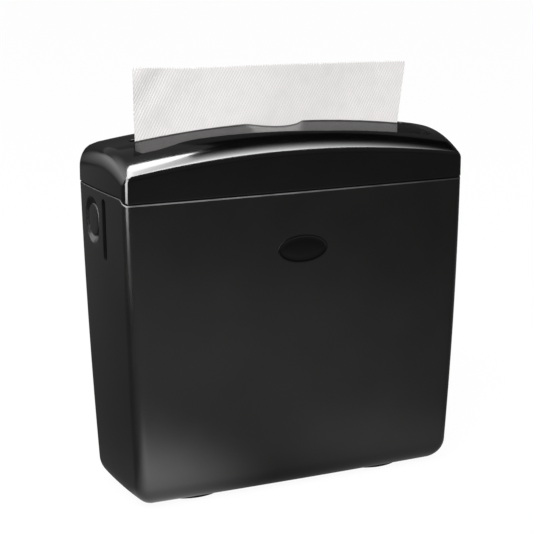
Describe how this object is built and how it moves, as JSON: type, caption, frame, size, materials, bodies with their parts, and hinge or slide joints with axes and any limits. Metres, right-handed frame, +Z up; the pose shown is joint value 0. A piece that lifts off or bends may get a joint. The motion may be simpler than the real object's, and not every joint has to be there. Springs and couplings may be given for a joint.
{
  "type": "countertop paper towel dispenser",
  "caption": "Free-standing black tub with a hinged smoked lid; a sprung lifter holds folded paper towels up to a slot across the lid, and side push buttons free the lid.",
  "frame": {"origin": "middle of the whole object's box at the counter, under the feet", "axes": "+Z up, -Y out of the front with the badge, +X to the right as seen from the front"},
  "size_m": [0.303, 0.1142, 0.3465],
  "materials": {
    "shell": "moulded black, satin gloss",
    "smoked_lid": "dark smoked translucent, glossy",
    "badge": "bare gloss black plate",
    "inner_plastic": "moulded matte black",
    "foot_rubber": "matte black rubber",
    "steel": "plain zinc-plated steel",
    "bushing": "natural nylon",
    "towel": "white embossed paper towel"
  },
  "bodies": {
    "housing": {"body_shell": "shell", "badge": "badge", "foot_left": "foot_rubber", "foot_right": "foot_rubber", "foot_screws": "steel", "guide_panel_left": "inner_plastic", "guide_panel_right": "inner_plastic", "panel_screws": "steel", "guide_rod_left": "steel", "guide_rod_right": "steel", "rod_bracket_left": "inner_plastic", "rod_bracket_right": "inner_plastic", "bracket_screws": "steel", "lift_spring_left": "steel", "lift_spring_right": "steel", "latch_housing_left": "inner_plastic", "latch_housing_right": "inner_plastic", "housing_screws": "steel", "button_spring_left": "steel", "button_spring_right": "steel", "hinge_pin_left": "steel", "hinge_pin_right": "steel"},
    "lid_assembly": {"lid": "smoked_lid", "throat_guide": "inner_plastic", "throat_screws": "steel", "lead_towel": "towel"},
    "lifter": {"lifter_plate": "inner_plastic", "lifter_bushing_left": "bushing", "lifter_bushing_right": "bushing", "towel_stack": "towel"},
    "left_button": {"button_left": "shell"},
    "right_button": {"button_right": "shell"}
  },
  "joints": [
    {"name": "lid_hinge", "type": "hinge", "parent": "housing", "child": "lid_assembly", "pos_m": [0, 0.05306, 0.2522], "axis": [-1, 0, 0], "range_deg": [0, 105]},
    {"name": "lifter_slide", "type": "slide", "parent": "housing", "child": "lifter", "axis": [0, 0, 1], "range_m": [-0.135, 0], "stiffness_N_per_m": 100, "springref_m": 0.16, "deforming": ["lift_spring_left", "lift_spring_right"]},
    {"name": "left_button_push", "type": "slide", "parent": "housing", "child": "left_button", "axis": [1, 0, 0], "range_m": [0, 0.0035], "stiffness_N_per_m": 400, "springref_m": -0.002, "deforming": ["button_spring_left"]},
    {"name": "right_button_push", "type": "slide", "parent": "housing", "child": "right_button", "axis": [-1, 0, 0], "range_m": [0, 0.0035], "stiffness_N_per_m": 400, "springref_m": -0.002, "deforming": ["button_spring_right"]}
  ]
}
